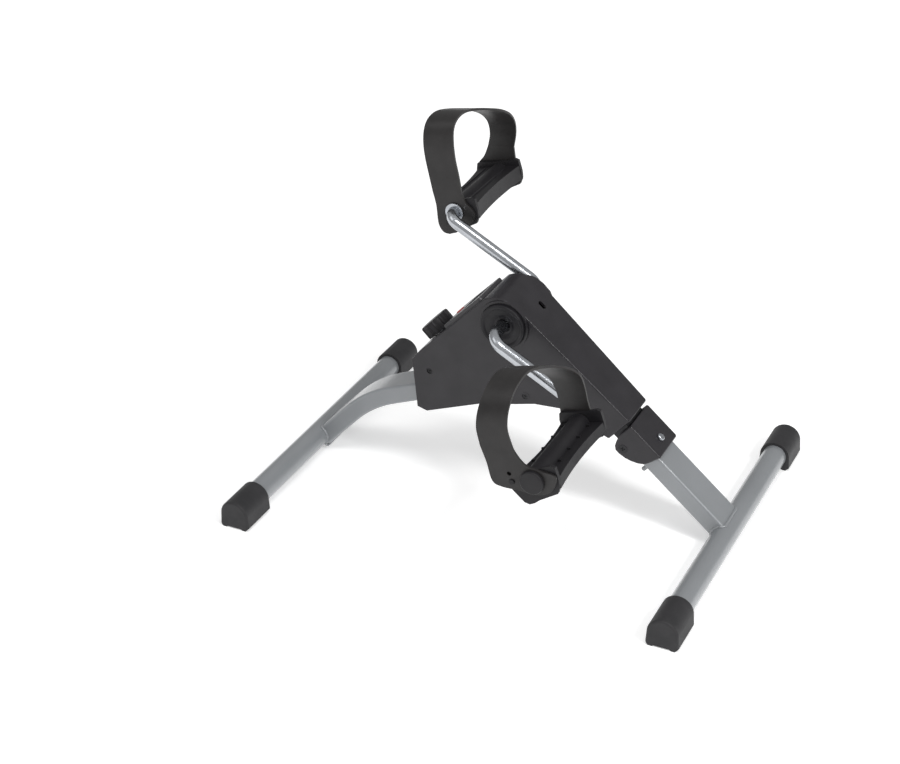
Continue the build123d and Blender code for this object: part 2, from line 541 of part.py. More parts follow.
def resample(st, per=3):
    """Catmull-Rom through the stations, per steps to each span."""
    out = []
    n = len(st)
    for i in range(n - 1):
        p0, p1, p2, p3 = st[max(i - 1, 0)], st[i], st[i + 1], st[min(i + 2, n - 1)]
        for k in range(per):
            u = k / per
            row = []
            for a, b, c_, d in zip(p0, p1, p2, p3):
                row.append(0.5 * ((2 * b) + (-a + c_) * u + (2 * a - 5 * b + 4 * c_ - d) * u * u + (-a + 3 * b - 3 * c_ + d) * u ** 3))
            row[0] = min(max(row[0], 79.05), 197.55)
            out.append(tuple(row))
    out.append(st[-1])
    return out


def strap_band(c, side, stations):
    st = resample(stations)
    n = len(st)
    mids = [Vector(c[0] + (a[1] + a[3]) / 2, side * a[0], c[1] + (a[2] + a[4]) / 2) for a in st]
    secs = []
    for i, a in enumerate(st):
        r = Vector(c[0] + a[1], side * a[0], c[1] + a[2])
        f = Vector(c[0] + a[3], side * a[0], c[1] + a[4])
        t = mids[min(i + 1, n - 1)] - mids[max(i - 1, 0)]
        nr = t.cross(f - r).normalized() * (STRAP_T / 2)
        secs.append([r + nr, f + nr, f - nr, r - nr])
    tri = []
    for s0, s1 in zip(secs[:-1], secs[1:]):
        for k in range(4):
            m = (k + 1) % 4
            tri.append((s0[k], s0[m], s1[m]))
            tri.append((s0[k], s1[m], s1[k]))
    for s_ in (secs[0], secs[-1]):
        tri.append((s_[0], s_[1], s_[2]))
        tri.append((s_[0], s_[2], s_[3]))
    faces = [Face(Wire.make_polygon(list(t3), close=True)) for t3 in tri]
    solid = Solid(Shell(faces))
    if solid.volume < 0:
        solid = Solid(Shell([-f for f in faces]))
    return Part() + solid


def make_pedal(side, pitch, tag):
    c, t, n = pedal_frame(side, pitch)

    def Q(a, b):
        return (c[0] + a * t[0] + b * n[0], c[1] + a * t[1] + b * n[1])

    def yy(a, b):
        return sorted((side * a, side * b))

    y0, y1 = yy(PED_IN, PED_IN + 4.0)
    y2, y3 = yy(PED_OUT - 4.5, PED_OUT)
    plates = prism([Q(a, b) for a, b in END_IN], y0, y1) + prism([Q(a, b) for a, b in END_OUT], y2, y3)
    # waisted deck, cut from a plate normal to n
    ym = side * (PED_IN + PED_OUT) / 2
    ya, yb = side * (PED_IN + 2), side * (PED_OUT - 2)
    org = Q(0, 1.0)
    pl = Plane(origin=(org[0], 0, org[1]), x_dir=(t[0], 0, t[1]), z_dir=(n[0], 0, n[1]))
    # local y of this plane is z x x = n x t
    sgn = 1 if Vector(n[0], 0, n[1]).cross(Vector(t[0], 0, t[1])).Y > 0 else -1
    L = lambda a, y: (a, sgn * y)
    sk = [Edge.make_line(L(-20.5, ya) + (0,), L(25.4, ya) + (0,)),
          Edge.make_three_point_arc(L(25.4, ya) + (0,), L(21.5, ym) + (0,), L(25.4, yb) + (0,)),
          Edge.make_line(L(25.4, yb) + (0,), L(-25, yb) + (0,)),
          Edge.make_three_point_arc(L(-25, yb) + (0,), L(-17.5, ym) + (0,), L(-20.5, ya) + (0,))]
    deck = extrude(pl * Face(Wire(sk)), amount=6.0)
    down = Vector(-n[0], 0, -n[1])
    fdeck = pl * Face(Wire(sk))
    skirt = extrude(fdeck, amount=10.5, dir=down) - extrude(offset(fdeck, amount=-3.0, kind=Kind.INTERSECTION), amount=14.0, dir=down)
    body = plates + deck + skirt
    # hub along the spindle and two ribs under the deck
    hy0, hy1 = yy(PED_IN + 1, PED_OUT - 1)
    body = body + cyl_y(c[0], c[1], 10.5, hy0, hy1)
    for k in range(5):
        yk = side * (PED_IN + 12 + k * 22.9)
        q0, q1 = sorted((yk - 1.2, yk + 1.2))
        body = body + prism([Q(a, b) for a, b in [(-17, 3), (14, 3), (14, -7), (-17, -7)]], q0, q1)
    # grip bars on the deck
    for k in range(4):
        a = -13.5 + 8.0 * k
        g0, g1 = yy(PED_IN + 12, PED_OUT - 12)
        body = body + prism([Q(x_, y_) for x_, y_ in [(a - 1.5, 6.5), (a + 1.5, 6.5), (a + 1.0, 8.2), (a - 1.0, 8.2)]], g0, g1)
    by0, by1 = yy(PED_IN - 5, PED_OUT + 5)
    body = body - cyl_y(c[0], c[1], BAR_R + RUN_CL, by0, by1)
    # strap pegs, one on each end plate
    px, pz = Q(*PEG_OUT)
    body = body + cyl_y(px, pz, 2.6, *yy(PED_OUT - 1, PED_OUT + STRAP_T + 1.6))
    px, pz = Q(*PEG_IN)
    body = body + cyl_y(px, pz, 2.6, *yy(PED_IN - STRAP_T - 1.0, PED_IN + 1))
    keep(f"pedal_body_{tag}", body)

    # strap: a band through the stations, with a tab at each end
    yo = PED_OUT + 0.25
    yi = PED_IN - 0.25
    band_ = strap_band(c, side, STRAP_STATIONS[tag])

    def tab(pts_, ya_, yb_):
        z0, z1 = sorted((side * ya_, side * yb_))
        return prism([(c[0] + a, c[1] + b) for a, b in pts_], z0, z1)

    strap = band_ + tab(TAB_OUT[tag], yo, yo + STRAP_T) + tab(TAB_IN[tag], yi - STRAP_T, yi)
    strap = strap - cyl_y(c[0], c[1], 8.5, *yy(PED_OUT - 1, PED_OUT + 8)) - cyl_y(c[0], c[1], 8.5, *yy(PED_IN - 8, PED_IN + 1))
    for (pa, pb), (u0, u1) in ((PEG_OUT, (PED_OUT - 1, PED_OUT + 8)), (PEG_IN, (PED_IN - 8, PED_IN + 1))):
        px, pz = Q(pa, pb)
        strap = strap - cyl_y(px, pz, 2.75, *yy(u0, u1))
    keep(f"pedal_strap_{tag}", strap)

    # end cap over the spindle's end: collar in the strap's hole and a flat disc
    g0, g1 = yy(PED_OUT + STRAP_T + 0.5, PED_OUT + STRAP_T + 4.2)
    cap = cyl_y(c[0], c[1], 12.0, g0, g1)
    cap = fillet([e for e in cap.edges() if abs(abs(e.center().Y) - (PED_OUT + STRAP_T + 4.2)) < 0.01], 1.4)
    k0, k1 = yy(PED_OUT + 0.05, PED_OUT + STRAP_T + 0.6)
    cap = cap + cyl_y(c[0], c[1], 8.4, k0, k1)
    m0, m1 = yy(PED_OUT - 1, SPINDLE_END + 0.4)
    cap = cap - cyl_y(c[0], c[1], BAR_R + RUN_CL, m0, m1)
    keep(f"pedal_end_cap_{tag}", cap)

    # washer on the spindle against the strap
    w0, w1 = yy(PED_IN - STRAP_T - 2.4, PED_IN - STRAP_T - 0.6)
    wash = ring_y(c[0], c[1], 10.2, BAR_R, w0, w1)
    keep(f"spindle_washer_{tag}", wash)


make_pedal(-1, PEDAL_PITCH_R, "right")
make_pedal(1, PEDAL_PITCH_L, "left")

os.makedirs("parts", exist_ok=True)
for name, shape in parts.items():
    export_step(shape, f"parts/{name}.step")
print(len(parts), "nodes")
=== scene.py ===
import json
import math
import bmesh
import bpy
from mathutils import Matrix, Vector


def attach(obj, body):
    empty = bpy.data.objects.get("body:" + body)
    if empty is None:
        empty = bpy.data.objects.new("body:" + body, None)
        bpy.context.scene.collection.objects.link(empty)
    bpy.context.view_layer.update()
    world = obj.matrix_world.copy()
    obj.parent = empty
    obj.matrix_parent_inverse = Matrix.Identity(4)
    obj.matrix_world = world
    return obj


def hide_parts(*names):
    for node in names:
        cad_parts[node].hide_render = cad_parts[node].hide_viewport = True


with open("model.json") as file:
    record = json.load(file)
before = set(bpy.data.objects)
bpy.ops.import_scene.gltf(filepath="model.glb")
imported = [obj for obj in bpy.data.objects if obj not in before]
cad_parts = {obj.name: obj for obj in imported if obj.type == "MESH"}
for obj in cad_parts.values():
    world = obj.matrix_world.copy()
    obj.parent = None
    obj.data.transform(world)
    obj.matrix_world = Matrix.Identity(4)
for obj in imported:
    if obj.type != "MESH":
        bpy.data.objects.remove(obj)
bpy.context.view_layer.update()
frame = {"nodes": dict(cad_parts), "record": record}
nodes = frame["nodes"]

sin, cos, rad = math.sin, math.cos, math.radians
MM = 0.001

# ---------------------------------------------------------------- dimensions
CX, CZ = -5.0, 212.0
AX, AZ = -3.8, 210.7
ALPHA = rad(40.87)
SA, CA = sin(ALPHA), cos(ALPHA)
STAB_X, STAB_Z, STAB_R = 234.3, 15.5, 12.7
HALF_W, CAP_LEN = 195.0, 44.0
ARM_DIR = rad(28.6)
CRANK_R = 121.0
PED_IN, PED_OUT = 80.6, 196.0
STRAP_T = 2.6
BACK_ANG = rad(45.9)


def P(s, o):
    return (CX + s * CA + o * SA, CZ - s * SA + o * CA)


def B(k, h):
    return (CX - h * sin(BACK_ANG) - k * cos(BACK_ANG), CZ + h * cos(BACK_ANG) - k * sin(BACK_ANG))


SP = {"right": (AX + CRANK_R * cos(ARM_DIR), AZ - CRANK_R * sin(ARM_DIR)),
      "left": (AX - CRANK_R * cos(ARM_DIR), AZ + CRANK_R * sin(ARM_DIR))}
PITCH = {"right": rad(15.0), "left": rad(12.0)}

# ---------------------------------------------------------------- materials


def srgb(r, g, b):
    f = lambda c: (c / 255.0 / 12.92) if c / 255.0 <= 0.04045 else ((c / 255.0 + 0.055) / 1.055) ** 2.4
    return (f(r), f(g), f(b), 1.0)


class Mat:
    """A node material built step by step round one Principled shader."""

    def __init__(self, name):
        self.m = bpy.data.materials.new(name)
        self.m.use_nodes = True
        self.t = self.m.node_tree
        self.t.nodes.clear()
        self.out = self.t.nodes.new("ShaderNodeOutputMaterial")
        self.p = self.t.nodes.new("ShaderNodeBsdfPrincipled")
        self.link(self.p.outputs[0], self.out.inputs[0])
        self.co = self.t.nodes.new("ShaderNodeTexCoord").outputs["Object"]
        self.height = None

    def link(self, a, b):
        self.t.links.new(a, b)

    def node(self, kind, **kw):
        n = self.t.nodes.new(kind)
        for k, v in kw.items():
            setattr(n, k, v)
        return n

    def noise(self, scale, detail=3.0, rough=0.5, stretch=None):
        n = self.node("ShaderNodeTexNoise")
        n.inputs["Scale"].default_value = scale
        n.inputs["Detail"].default_value = detail
        n.inputs["Roughness"].default_value = rough
        if stretch is not None:
            mp = self.node("ShaderNodeMapping")
            mp.inputs["Scale"].default_value = stretch
            self.link(self.co, mp.inputs["Vector"])
            self.link(mp.outputs[0], n.inputs["Vector"])
        else:
            self.link(self.co, n.inputs["Vector"])
        return n.outputs["Fac"]

    def voronoi(self, scale):
        n = self.node("ShaderNodeTexVoronoi")
        n.inputs["Scale"].default_value = scale
        self.link(self.co, n.inputs["Vector"])
        return n.outputs["Distance"]

    def ramp(self, fac, stops):
        r = self.node("ShaderNodeValToRGB")
        cr = r.color_ramp
        while len(cr.elements) < len(stops):
            cr.elements.new(0.5)
        for e, (pos, col) in zip(cr.elements, stops):
            e.position = pos
            e.color = col
        self.link(fac, r.inputs[0])
        return r.outputs[0]

    def mapr(self, fac, a, b, c, d):
        n = self.node("ShaderNodeMapRange")
        n.inputs["From Min"].default_value = a
        n.inputs["From Max"].default_value = b
        n.inputs["To Min"].default_value = c
        n.inputs["To Max"].default_value = d
        self.link(fac, n.inputs["Value"])
        return n.outputs[0]

    def math(self, op, a, b):
        n = self.node("ShaderNodeMath", operation=op)
        for i, v in enumerate((a, b)):
            if isinstance(v, (int, float)):
                n.inputs[i].default_value = v
            else:
                self.link(v, n.inputs[i])
        return n.outputs[0]

    def mix(self, fac, a, b):
        n = self.node("ShaderNodeMix", data_type="RGBA")
        if isinstance(fac, (int, float)):
            n.inputs[0].default_value = fac
        else:
            self.link(fac, n.inputs[0])
        for i, v in ((6, a), (7, b)):
            if isinstance(v, tuple):
                n.inputs[i].default_value = v
            else:
                self.link(v, n.inputs[i])
        return n.outputs[2]

    def edge(self, lo=0.52, hi=0.62):
        """Mask for a painted highlight: lighter along convex edges, from pointiness."""
        g = self.node("ShaderNodeNewGeometry")
        return self.mapr(g.outputs["Pointiness"], lo, hi, 0.0, 1.0)

    def bump(self, h, strength, dist):
        b = self.node("ShaderNodeBump")
        b.inputs["Strength"].default_value = strength
        b.inputs["Distance"].default_value = dist
        self.link(h, b.inputs["Height"])
        if self.height is not None:
            self.link(self.height, b.inputs["Normal"])
        self.height = b.outputs[0]
        self.link(self.height, self.p.inputs["Normal"])

    def set(self, **kw):
        for k, v in kw.items():
            self.p.inputs[k.replace("_", " ")].default_value = v
        return self


def moulded(name, dark, light, rough, grain, depth, spec=0.5, coat=0.0):
    """Moulded plastic: fine spark-eroded grain, faint flow marks and handling shine."""
    m = Mat(name)
    cloud = m.noise(38.0, 4.0)
    col = m.ramp(cloud, [(0.3, dark), (0.7, light)])
    lighter = tuple(min(1.0, c * 1.5 + 0.002) for c in light[:3]) + (1.0,)
    col = m.mix(m.mapr(m.noise(180.0, 6.0, 0.75), 0.62, 0.74, 0.0, 0.35), col, lighter)
    m.link(col, m.p.inputs["Base Color"])
    r = m.mapr(m.noise(14.0, 5.0, 0.6), 0.25, 0.75, rough - 0.07, rough + 0.08)
    m.link(r, m.p.inputs["Roughness"])
    g = m.noise(grain, 2.0, 0.6)
    m.bump(g, 0.5, depth)
    m.bump(m.noise(60.0, 3.0), 0.12, 0.0006)
    m.set(Specular_IOR_Level=spec, IOR=1.48)
    if coat:
        m.set(Coat_Weight=coat, Coat_Roughness=0.25)
    return m.m


def rubber(name, dark, light, rough, grain, sheen=0.15, depth=0.00012):
    m = Mat(name)
    col = m.ramp(m.noise(55.0, 5.0, 0.6), [(0.3, dark), (0.72, light)])
    dust = m.mapr(m.noise(260.0, 3.0, 0.7), 0.62, 0.8, 0.0, 0.22)
    dusty = tuple(min(1.0, c * 2.2 + 0.01) for c in light[:3]) + (1.0,)
    col = m.mix(dust, col, dusty)
    m.link(col, m.p.inputs["Base Color"])
    m.link(m.mapr(m.noise(22.0, 4.0), 0.3, 0.7, rough - 0.06, rough + 0.07), m.p.inputs["Roughness"])
    m.bump(m.noise(grain, 3.0, 0.7), 0.5, depth)
    m.set(Sheen_Weight=sheen, Sheen_Roughness=0.5, Specular_IOR_Level=0.4)
    return m.m


def paint(name, base, dark):
    """Satin powder coat on steel tube, with metal flake and a faint orange peel."""
    m = Mat(name)
    flake = m.noise(2600.0, 2.0, 0.7)
    cloud = m.noise(9.0, 4.0, 0.55)
    col = m.ramp(cloud, [(0.25, dark), (0.75, base)])
    bright = tuple(min(1.0, c * 1.35) for c in base[:3]) + (1.0,)
    col = m.mix(m.mapr(flake, 0.55, 0.75, 0.0, 0.35), col, bright)
    scuff = m.mapr(m.noise(70.0, 6.0, 0.75, stretch=(1.0, 1.0, 1.0)), 0.64, 0.74, 0.0, 0.25)
    col = m.mix(scuff, col, dark)
    m.link(col, m.p.inputs["Base Color"])
    m.link(m.mapr(m.noise(30.0, 4.0), 0.3, 0.7, 0.42, 0.54), m.p.inputs["Roughness"])
    m.bump(m.noise(420.0, 2.0, 0.5), 0.25, 0.00008)
    m.bump(flake, 0.12, 0.00003)
    m.set(Metallic=0.2, Specular_IOR_Level=0.45, Coat_Weight=0.9, Coat_Roughness=0.19)
    return m.m


def plated(name, col, rough, stretch, aniso=0.0, dull=None):
    m = Mat(name)
    dull = dull or tuple(c * 0.82 for c in col[:3]) + (1.0,)
    m.link(m.ramp(m.noise(40.0, 5.0, 0.6), [(0.3, dull), (0.6, col)]), m.p.inputs["Base Color"])
    streak = m.noise(700.0, 3.0, 0.6, stretch=stretch)
    m.link(m.mapr(streak, 0.3, 0.7, rough * 0.7, rough * 1.5), m.p.inputs["Roughness"])
    m.bump(streak, 0.03, 0.00002)
    m.set(Metallic=1.0)
    if aniso:
        m.set(Anisotropic=aniso)
    return m.m


M = {}
M["housing"] = moulded("housing_plastic", srgb(25, 23, 27), srgb(35, 33, 37), 0.44, 1500.0, 0.00012, spec=0.32, coat=0.3)
# hub covers: a darker copy of the housing plastic, painted shade for the recessed hub
M["hub"] = moulded("hub_plastic_shaded_darker", srgb(20, 19, 22), srgb(29, 28, 31), 0.46, 1500.0, 0.0001, spec=0.3)
M["pedal"] = moulded("pedal_plastic", srgb(25, 24, 27), srgb(34, 33, 35), 0.5, 1900.0, 0.0001, spec=0.3)
M["bezel"] = moulded("bezel_plastic", srgb(46, 45, 48), srgb(57, 56, 58), 0.38, 1800.0, 0.00008, spec=0.5)
M["button"] = moulded("button_plastic", srgb(150, 32, 22), srgb(172, 40, 28), 0.32, 2200.0, 0.00003, spec=0.5)
M["cap"] = rubber("cap_rubber", srgb(31, 31, 33), srgb(43, 42, 44), 0.62, 900.0, sheen=0.04)
M["strap"] = rubber("strap_rubber", srgb(25, 23, 23), srgb(36, 34, 34), 0.44, 1400.0, sheen=0.02, depth=0.00005)
M["band"] = rubber("band_rubber", srgb(80, 62, 44), srgb(104, 84, 62), 0.8, 800.0)
M["paint"] = paint("grey_paint", srgb(136, 139, 142), srgb(124, 127, 130))
M["chrome"] = plated("chrome", (0.50, 0.52, 0.55, 1), 0.2, (1.0, 1.0, 1.0))
M["zinc"] = plated("zinc", (0.45, 0.47, 0.5, 1), 0.24, (1.0, 1.0, 1.0))
M["black_steel"] = plated("black_steel", (0.03, 0.03, 0.032, 1), 0.38, (1.0, 1.0, 1.0))
M["black_steel"].node_tree.nodes["Principled BSDF"].inputs["Metallic"].default_value = 0.6
M["brass"] = plated("bush_brass", (0.62, 0.46, 0.2, 1), 0.25, (1.0, 8.0, 1.0))
M["iron"] = plated("drum_iron", (0.25, 0.25, 0.26, 1), 0.35, (1.0, 8.0, 1.0))


def lens_mat():
    m = Mat("lens")
    m.link(m.ramp(m.noise(30.0, 3.0), [(0.3, (0.86, 0.89, 0.88, 1)), (0.7, (0.92, 0.94, 0.93, 1))]), m.p.inputs["Base Color"])
    m.link(m.mapr(m.noise(90.0, 5.0, 0.7), 0.3, 0.75, 0.04, 0.14), m.p.inputs["Roughness"])
    m.set(IOR=1.49, Alpha=0.28)
    return m.m


def lcd_mat():
    m = Mat("display_module")
    m.link(m.ramp(m.noise(240.0, 2.0), [(0.3, srgb(132, 142, 124)), (0.7, srgb(146, 156, 138))]), m.p.inputs["Base Color"])
    m.link(m.mapr(m.noise(60.0, 3.0), 0.3, 0.7, 0.25, 0.4), m.p.inputs["Roughness"])
    return m.m


def board_mat():
    m = Mat("board")
    m.link(m.ramp(m.noise(180.0, 6.0, 0.7), [(0.4, srgb(20, 72, 40)), (0.6, srgb(30, 92, 52))]), m.p.inputs["Base Color"])
    m.link(m.mapr(m.noise(80.0, 3.0), 0.3, 0.7, 0.3, 0.5), m.p.inputs["Roughness"])
    return m.m


M["lens"], M["lcd"], M["board"] = lens_mat(), lcd_mat(), board_mat()

SLOT_MAT = {"housing_plastic": "housing", "pedal_plastic": "pedal", "bezel_plastic": "bezel", "button_plastic": "button",
            "cap_rubber": "cap", "strap_rubber": "strap", "band_rubber": "band", "grey_paint": "paint", "chrome": "chrome",
            "zinc": "zinc", "black_steel": "black_steel", "bush_brass": "brass", "drum_iron": "iron", "lens": "lens",
            "display_module": "lcd", "board": "board"}
for sub in frame["record"]["subparts"]:
    o = nodes[sub["node"]]
    o.data.materials.clear()
    # the hub covers take the darker plastic copy, which paints the shade of their recess
    o.data.materials.append(M["hub" if sub["node"].startswith("hub_cover") else SLOT_MAT[sub["material_slot"]]])

# ---------------------------------------------------------------- mesh helpers


def new_obj(name, verts, faces, mat, body, smooth=True):
    me = bpy.data.meshes.new(name)
    me.from_pydata([tuple(v) for v in verts], [], faces)
    me.validate()
    me.update()
    o = bpy.data.objects.new(name, me)
    bpy.context.scene.collection.objects.link(o)
    me.materials.append(M[mat])
    if smooth:
        me.polygons.foreach_set("use_smooth", [True] * len(me.polygons))
    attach(o, body)
    return o


def fix_normals(o):
    bm = bmesh.new()
    bm.from_mesh(o.data)
    bmesh.ops.remove_doubles(bm, verts=bm.verts, dist=1e-6)
    bmesh.ops.recalc_face_normals(bm, faces=bm.faces)
    bm.to_mesh(o.data)
    bm.free()
    return o


def crisp(o, width, segments=2, angle=30.0):
    """Round every sharp edge of a piece a little, so that it catches light as a moulding does."""
    w = o.modifiers.new("weld", "WELD")
    w.merge_threshold = 2e-6
    b = o.modifiers.new("round", "BEVEL")
    b.width = width
    b.segments = segments
    b.limit_method = "ANGLE"
    b.angle_limit = rad(angle)
    b.harden_normals = False
    b.use_clamp_overlap = True
    o.data.polygons.foreach_set("use_smooth", [True] * len(o.data.polygons))
    n = o.modifiers.new("normals", "WEIGHTED_NORMAL")
    n.keep_sharp = False
    return o


# ---------------------------------------------------------------- straps
STATIONS = {
    "right": [(197.55, -40, -8, -2, -8), (197.55, -47, 8, -11, 12), (197.55, -53.5, 25, -20, 29), (197.55, -57.5, 42, -26, 47),
              (195.5, -57.7, 56.4, -26.9, 62.4), (189, -56.7, 68.4, -26.2, 75.4), (177, -55.7, 78, -25.2, 85), (160, -53.7, 83.5, -22.7, 90.5),
              (142, -50.7, 79.5, -19.2, 87), (124, -46.2, 72, -14.5, 80.5), (108, -41.7, 63.4, -9.4, 72.4), (95, -36.5, 54, -4.7, 64),
              (86, -32, 44, 0, 54), (80.8, -28, 31, 2.5, 40), (79.05, -25, 18, 5, 25), (79.05, -23, 4, 10, 8), (79.05, -20, -8, 14, -8)],
    "left": [(79.05, -20, -8, 16, -8), (79.05, -23, 4, 13, 8), (79.05, -25.5, 18, 8, 22), (79.05, -29.6, 36, 4.8, 40),
             (79.05, -33.6, 54, 0.9, 58), (79.8, -36, 70, -1.5, 75), (83.5, -37, 84, -3, 90), (92, -36.5, 93, -2.5, 99),
             (106, -33.5, 96.5, 0, 102), (124, -27.5, 93.5, 5.5, 99), (142, -21.5, 88, 11.5, 93.5), (160, -16.5, 81, 16.5, 86.5),
             (176, -13.5, 71, 19.5, 76.5), (188, -12.5, 58, 19.5, 63), (195.0, -13.5, 42, 17.5, 47), (197.55, -17, 26, 14, 30),
             (197.55, -20, 8, 12, 10), (197.55, -22, -8, 14, -8)],
}


def resample(st, per):
    out = []
    n = len(st)
    for i in range(n - 1):
        p0, p1, p2, p3 = st[max(i - 1, 0)], st[i], st[i + 1], st[min(i + 2, n - 1)]
        for k in range(per):
            u = k / per
            row = [0.5 * ((2 * b) + (-a + c) * u + (2 * a - 5 * b + 4 * c - d) * u * u + (-a + 3 * b - 3 * c + d) * u ** 3)
                   for a, b, c, d in zip(p0, p1, p2, p3)]
            row[0] = min(max(row[0], 79.05), 197.55)
            out.append(tuple(row))
    out.append(st[-1])
    return out


TAB_OUT = {
    "right": [(-53.5, 25), (-47, 9), (-41, -10), (-31, -14), (-14, -13.5), (2, -14), (16, -9), (23, 2), (22, 11.5), (8, 13.2), (-5, 14.6), (-13, 20), (-20, 29)],
    "left": [(-17, 26), (-21.5, 14), (-28, 4.5), (-30, -6), (-26.5, -13.5), (-16, -17), (0, -15), (14, -12), (19, -2), (17, 8), (14, 30)],
}
TAB_IN = {
    "right": [(-25, 18), (-22.5, 4), (-21.5, -10), (-15, -18.5), (-8, -21), (-1, -20), (15, -10.5), (19, 0), (15.5, 8), (9, 14), (5, 25)],
    "left": [(-25.5, 18), (-21.8, 4), (-19.5, -16), (-14.5, -25), (-8, -26.8), (-2, -24.5), (19, -9.8), (23, 0), (20, 6.5), (13, 12.5), (8, 22)],
}
PEG_OUT, PEG_IN = (-21.5, 0.0), (-10.0, -12.0)


def smooth_outline(pts, per=5):
    """Open outline whose two ends stay put, rounded through its points."""
    out = []
    n = len(pts)
    for i in range(n - 1):
        p0, p1, p2, p3 = pts[max(i - 1, 0)], pts[i], pts[i + 1], pts[min(i + 2, n - 1)]
        for k in range(per):
            u = k / per
            out.append(tuple(0.5 * ((2 * b) + (-a + c) * u + (2 * a - 5 * b + 4 * c - d) * u * u + (-a + 3 * b - 3 * c + d) * u ** 3)
                             for a, b, c, d in zip(p0, p1, p2, p3)))
    out.append(pts[-1])
    return out


def make_strap(tag):
    side = -1 if tag == "right" else 1
    c = SP[tag]
    pitch = PITCH[tag]
    st = STATIONS[tag]
    if tag == "right":
        st = st[2:15]
        tabs = [(TAB_OUT[tag], 197.55), (TAB_IN[tag], 79.05)]
    else:
        st = st[2:16]
        tabs = [(TAB_IN[tag], 79.05), (TAB_OUT[tag], 197.55)]
    rows = resample(st, 6)
    ncol = 8
    bm = bmesh.new()

    def vert(x, y, z):
        return bm.verts.new(((c[0] + x) * MM, side * y * MM, (c[1] + z) * MM))

    grid = []
    for r in rows:
        line = []
        for k in range(ncol + 1):
            u = k / ncol
            x = r[1] + (r[3] - r[1]) * u
            z = r[2] + (r[4] - r[2]) * u
            line.append(vert(x, r[0], z))
        grid.append(line)
    for a, b in zip(grid[:-1], grid[1:]):
        for k in range(ncol):
            bm.faces.new((a[k], a[k + 1], b[k + 1], b[k]))
    for which, (outline, y) in enumerate(tabs):
        row = grid[0] if which == 0 else grid[-1]
        pts = smooth_outline(outline, 6)[1:-1]
        loop = [row[0]] + [vert(px, y, pz) for px, pz in pts] + [row[-1]]
        full = loop + list(reversed(row[1:-1]))
        edges = []
        for i in range(len(full)):
            a, b = full[i], full[(i + 1) % len(full)]
            e = bm.edges.get((a, b)) or bm.edges.new((a, b))
            edges.append(e)
        peg = PEG_OUT if y > 150 else PEG_IN
        px = peg[0] * cos(pitch) - peg[1] * sin(pitch)
        pz = peg[0] * sin(pitch) + peg[1] * cos(pitch)
        holes = [(0, 0, 8.5, 40), (px, pz, 2.75, 20)]
        if y > 150:
            holes.append((px - 3.0, pz + 8.0, 2.2, 18))
        for hx, hz, hr, hn in holes:
            ring = [vert(hx + hr * cos(2 * math.pi * i / hn), y, hz + hr * sin(2 * math.pi * i / hn)) for i in range(hn)]
            for i in range(hn):
                edges.append(bm.edges.new((ring[i], ring[(i + 1) % hn])))
        bmesh.ops.triangle_fill(bm, use_beauty=True, edges=edges)
    bmesh.ops.recalc_face_normals(bm, faces=bm.faces)
    me = bpy.data.meshes.new("strap_" + tag)
    bm.to_mesh(me)
    bm.free()
    o = bpy.data.objects.new("strap_" + tag, me)
    bpy.context.scene.collection.objects.link(o)
    me.materials.append(M["strap"])
    me.polygons.foreach_set("use_smooth", [True] * len(me.polygons))
    sol = o.modifiers.new("thick", "SOLIDIFY")
    sol.thickness = (STRAP_T - 0.1) * MM
    sol.offset = 0.0
    sol.use_even_offset = True
    bev = o.modifiers.new("round", "BEVEL")
    bev.width = 0.7 * MM
    bev.segments = 3
    bev.limit_method = "ANGLE"
    bev.angle_limit = rad(50)
    bev.use_clamp_overlap = True
    n = o.modifiers.new("normals", "WEIGHTED_NORMAL")
    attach(o, "pedal_" + tag)
    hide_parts("pedal_strap_" + tag)
    return o


make_strap("right")
make_strap("left")

# ---------------------------------------------------------------- weld beads


def bead(name, path, r, body, seed=0.0):
    """A ripple-textured weld bead along a closed path of points in mm."""
    verts, faces = [], []
    n = len(path)
    m = 10
    for i in range(n):
        p = Vector(path[i])
        t = (Vector(path[(i + 1) % n]) - Vector(path[i - 1])).normalized()
        a = t.cross(Vector((0.3, 0.2, 1.0))).normalized()
        b = t.cross(a)
        rr = r * (1.0 + 0.13 * sin(i * 2.1 + seed) + 0.08 * sin(i * 0.63 + 1.3 * seed))
        for k in range(m):
            g = 2 * math.pi * k / m
            v = p + (a * cos(g) + b * sin(g)) * rr
            verts.append(v * MM)
    for i in range(n):
        for k in range(m):
            faces.append((i * m + k, i * m + (k + 1) % m, ((i + 1) % n) * m + (k + 1) % m, ((i + 1) % n) * m + k))
    o = new_obj(name, verts, faces, "paint", body)
    fix_normals(o)
    o.modifiers.new("smooth", "SUBSURF").render_levels = 1
    return o


def rect_outline(w, h, rc, step=1.6):
    """Rounded rectangle, w along the first axis and h along the second, as points."""
    pts = []
    hw, hh = w / 2 - rc, h / 2 - rc
    segs = [((hw, h / 2), (-hw, h / 2)), ((-w / 2, hh), (-w / 2, -hh)), ((-hw, -h / 2), (hw, -h / 2)), ((w / 2, -hh), (w / 2, hh))]
    cs = [(-hw, hh, 90), (-hw, -hh, 180), (hw, -hh, 270), (hw, hh, 0)]
    for (a, b), (cx, cy, a0) in zip(segs, cs):
        L = math.hypot(b[0] - a[0], b[1] - a[1])
        k = max(2, int(L / step))
        for i in range(k):
            u = i / k
            pts.append((a[0] + (b[0] - a[0]) * u, a[1] + (b[1] - a[1]) * u))
        for i in range(4):
            g = rad(a0 + 90 * i / 4)
            pts.append((cx + rc * cos(g), cy + rc * sin(g)))
    return pts


front = []
for y, h in rect_outline(40.2, 20.2, 3.0):
    o_ = 8.0 + h
    s_ = 309.5 - math.sqrt(max(STAB_R ** 2 - h * h, 0.0)) - 0.4
    x, z = P(s_, o_)
    front.append((x, y, z))
bead("weld_front", front, 1.7, "front_leg", 0.4)

